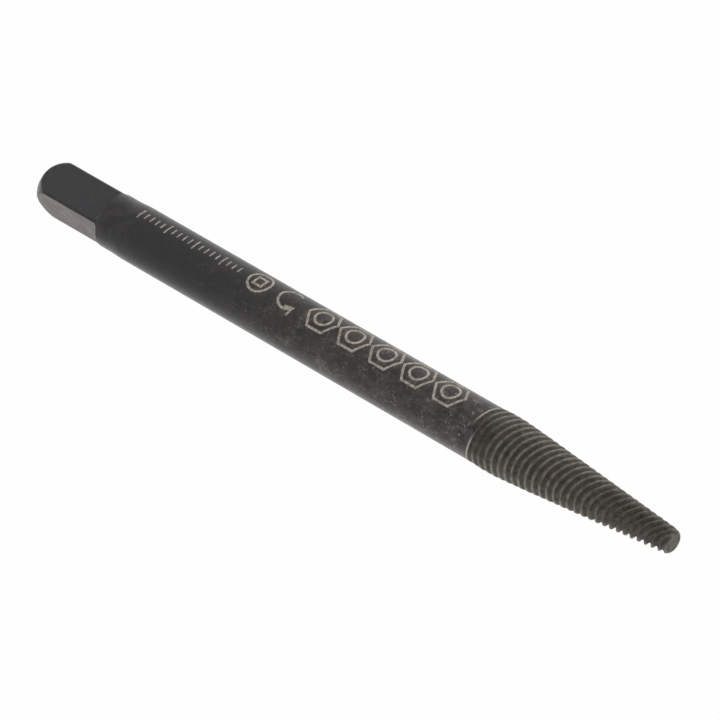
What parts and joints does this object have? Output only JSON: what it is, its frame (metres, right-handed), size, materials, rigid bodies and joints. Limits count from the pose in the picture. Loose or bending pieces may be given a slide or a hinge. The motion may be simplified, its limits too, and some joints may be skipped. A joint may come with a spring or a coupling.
{
  "type": "screw extractor",
  "caption": "Steel screw extractor with a square drive end, a long round shank and a tapered left-hand thread ending in a blunt tip.",
  "frame": {"origin": "centre of the drive end face, on which the tool stands", "axes": "+Z along the tool from the drive end up to the threaded tip; the flats of the drive square face +X, -X, +Y and -Y"},
  "size_m": [0.0082, 0.0082, 0.11],
  "materials": {
    "black_steel": "blackened"
  },
  "bodies": {
    "root": {"screw_extractor": "black_steel"}
  },
  "joints": []
}
